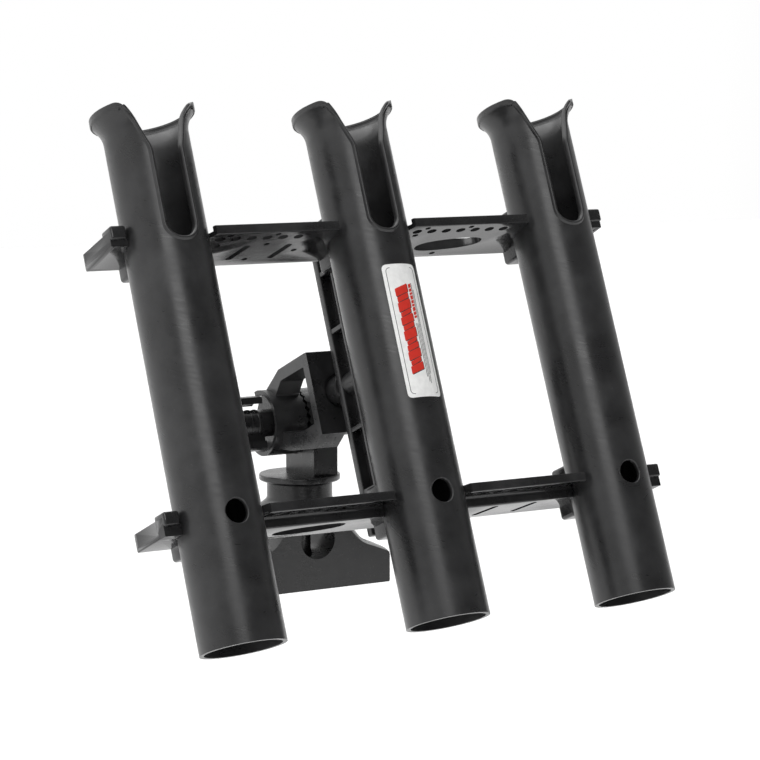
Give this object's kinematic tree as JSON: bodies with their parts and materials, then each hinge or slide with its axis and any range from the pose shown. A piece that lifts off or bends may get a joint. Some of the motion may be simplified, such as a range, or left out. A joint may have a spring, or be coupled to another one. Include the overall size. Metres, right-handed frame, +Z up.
{
  "type": "triple fishing rod holder",
  "caption": "Rack of open-topped rod tubes with reel slots, joined by tool shelves and held by a spine and bracket on a tilting, swivelling pedestal.",
  "frame": {"origin": "where the swivel axis meets the plane of the pedestal's underside", "axes": "+X to the right along the shelves, -Y to the front where the reel slots face, +Z up the swivel axis"},
  "size_m": [0.34, 0.2308, 0.3099],
  "materials": {
    "plastic": "satin black moulded plastic",
    "steel": "plain stainless steel",
    "label": "printed white film"
  },
  "bodies": {
    "base": {"pedestal_base": "plastic"},
    "swivel": {"swivel_post": "plastic", "stem_washer": "steel", "stem_bolt": "steel", "tilt_bolt": "steel", "tilt_washer": "steel"},
    "rack": {"rod_tube_left": "plastic", "rod_tube_middle": "plastic", "rod_tube_right": "plastic", "upper_shelf": "plastic", "lower_shelf": "plastic", "spine": "plastic", "spine_screw_lower": "steel", "spine_screw_upper": "steel", "label": "label", "tilt_bracket": "plastic", "clamp_bolt": "steel", "clamp_washer": "steel", "clamp_nut": "steel"},
    "knob": {"tilt_knob": "plastic"}
  },
  "joints": [
    {"name": "swivel_turn", "type": "hinge", "parent": "base", "child": "swivel", "pos_m": [0, 0, 0], "axis": [0, 0, 1], "continuous": true},
    {"name": "rack_tilt", "type": "hinge", "parent": "swivel", "child": "rack", "pos_m": [0, 0.0075, 0.1045], "axis": [1, 0, 0], "range_deg": [-37, 23]},
    {"name": "knob_turn", "type": "hinge", "parent": "rack", "child": "knob", "pos_m": [0, 0.0075, 0.1045], "axis": [1, 0, 0], "range_deg": [0, 720]}
  ]
}
